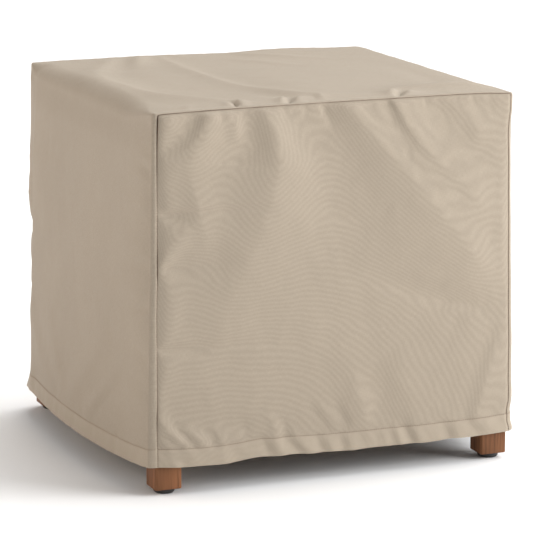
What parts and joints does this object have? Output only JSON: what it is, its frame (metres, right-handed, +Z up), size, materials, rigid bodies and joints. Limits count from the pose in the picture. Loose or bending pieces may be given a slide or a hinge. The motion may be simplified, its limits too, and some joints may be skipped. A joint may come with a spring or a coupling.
{
  "type": "patio table cover on side table",
  "caption": "Fitted cloth cover with sewn panels and a turned hem over a square side table, whose legs and round glides show below the hem.",
  "frame": {"origin": "middle of the outer size at the ground, where the glides stand", "axes": "+X to the right, +Y to the back, +Z up; the front panel faces -Y and the cloth strip runs over the top along X"},
  "size_m": [0.6782, 0.6334, 0.6014],
  "materials": {
    "cover_cloth": "tightly woven coated polyester cloth, matt with a faint sheen, warm beige",
    "table_wood": "oiled reddish brown hardwood, satin",
    "glide_plastic": "moulded black plastic, matt"
  },
  "bodies": {
    "root": {"wrap_panel": "cover_cloth", "front_panel": "cover_cloth", "back_panel": "cover_cloth", "table_top": "table_wood", "leg_fl": "table_wood", "leg_fr": "table_wood", "leg_bl": "table_wood", "leg_br": "table_wood", "glide_fl": "glide_plastic", "glide_fr": "glide_plastic", "glide_bl": "glide_plastic", "glide_br": "glide_plastic"}
  },
  "joints": []
}
